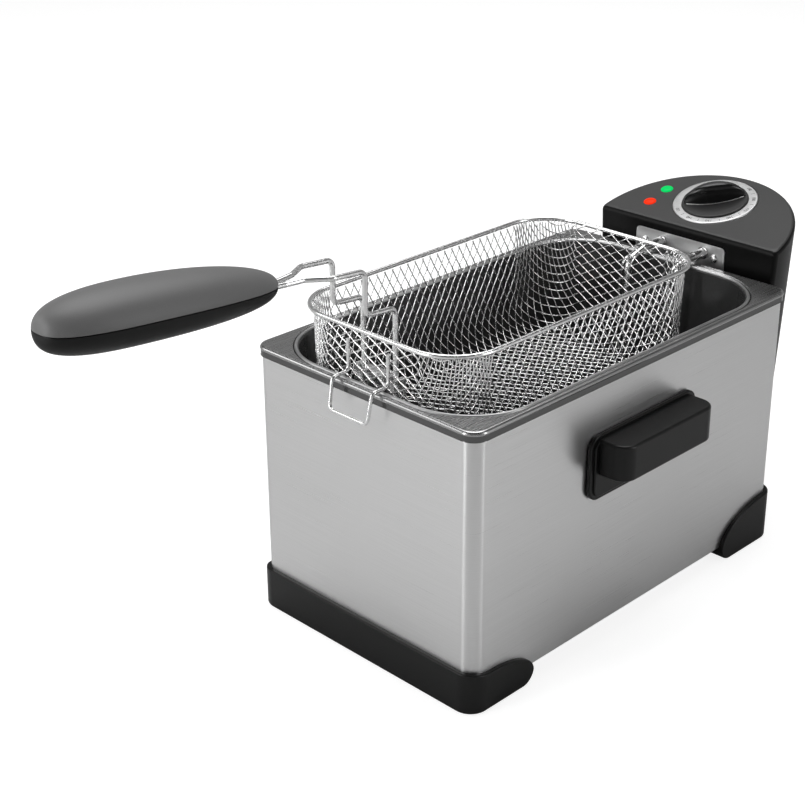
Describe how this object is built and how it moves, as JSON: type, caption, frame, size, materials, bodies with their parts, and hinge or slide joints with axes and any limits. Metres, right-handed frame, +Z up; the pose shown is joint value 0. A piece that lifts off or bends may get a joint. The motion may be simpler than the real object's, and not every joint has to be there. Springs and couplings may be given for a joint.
{
  "type": "deep fryer",
  "caption": "Rectangular countertop deep fryer with brushed steel body, lift-out pot, removable control head with immersed heater, and hooked wire basket with folding handle.",
  "frame": {"origin": "bottom centre of the whole fryer's bounding box, on the surface it stands on", "axes": "+Z up, -Y towards the front, where the basket handle points, +Y towards the control head, +X to the right seen from the front"},
  "size_m": [0.2784, 0.7242, 0.3533],
  "materials": {
    "brushed_steel": "horizontal brushed stainless steel",
    "bright_wire": "bright plated wire",
    "dark_pot": "dark glossy enamel",
    "black_plastic": "black satin plastic",
    "grey_panel": "charcoal satin plastic",
    "gloss_black": "polished black plastic",
    "soft_grey": "dark grey soft-touch plastic",
    "rubber": "black rubber",
    "silver_paint": "spun silver finish",
    "green_lens": "lit green lens",
    "red_lens": "lit red lens",
    "red_button": "red plastic",
    "ceramic": "unglazed steatite",
    "plain_steel": "plain sheet steel",
    "copper": "copper",
    "brass": "brass",
    "dark_moulding": "black plastic"
  },
  "bodies": {
    "base": {"outer_shell": "brushed_steel", "top_deck": "brushed_steel", "inner_liner": "plain_steel", "base_plate": "plain_steel", "front_foot_trim": "black_plastic", "rear_foot_left": "black_plastic", "rear_foot_right": "black_plastic", "rubber_foot_front_left": "rubber", "rubber_foot_front_right": "rubber", "rubber_foot_rear_left": "rubber", "rubber_foot_rear_right": "rubber", "side_handle_left": "black_plastic", "side_handle_right": "black_plastic", "head_rail": "black_plastic"},
    "oil_pot": {"oil_pot": "dark_pot", "pot_rim": "bright_wire"},
    "control_head": {"head_cover": "grey_panel", "head_base": "black_plastic", "element_plate": "brushed_steel", "plate_screw_left": "bright_wire", "plate_screw_right": "bright_wire", "heating_element": "bright_wire", "element_clip": "plain_steel", "thermostat_bulb": "copper", "capillary_tube": "copper", "thermostat_body": "ceramic", "dial_ring": "silver_paint", "lamp_green": "green_lens", "lamp_red": "red_lens", "terminal_block": "ceramic", "interlock_switch": "dark_moulding", "reset_switch": "dark_moulding", "power_inlet": "black_plastic", "inlet_pin_1": "brass", "inlet_pin_2": "brass", "inlet_pin_3": "brass"},
    "temperature_knob": {"temperature_knob": "gloss_black", "knob_marker": "silver_paint", "thermostat_shaft": "brass"},
    "reset_button": {"reset_button": "red_button"},
    "basket": {"basket_shell": "bright_wire", "basket_rim_wire": "bright_wire", "drain_hook": "bright_wire", "handle_bracket": "bright_wire"},
    "basket_handle": {"handle_wire": "bright_wire", "grip_upper": "soft_grey", "grip_lower": "soft_grey", "grip_screw": "plain_steel"}
  },
  "joints": [
    {"name": "oil_pot_lift", "type": "slide", "parent": "base", "child": "oil_pot", "axis": [0, 0, 1], "range_m": [0, 0.22]},
    {"name": "control_head_lift", "type": "slide", "parent": "oil_pot", "child": "control_head", "axis": [0, 0, 1], "range_m": [0, 0.22]},
    {"name": "basket_lift", "type": "slide", "parent": "control_head", "child": "basket", "axis": [0, 0, 1], "range_m": [0, 0.2]},
    {"name": "basket_handle_fold", "type": "hinge", "parent": "basket", "child": "basket_handle", "pos_m": [0, -0.08977, 0.224], "axis": [-1, 0, 0], "range_deg": [0, 120]},
    {"name": "temperature_knob_turn", "type": "hinge", "parent": "control_head", "child": "temperature_knob", "pos_m": [-0.0024, 0.31532, 0.25722], "axis": [0, -0.2588, 0.9659], "range_deg": [-150, 120]},
    {"name": "reset_button_push", "type": "slide", "parent": "control_head", "child": "reset_button", "axis": [0, -1, 0], "range_m": [0, 0.002], "stiffness_N_per_m": 300}
  ]
}
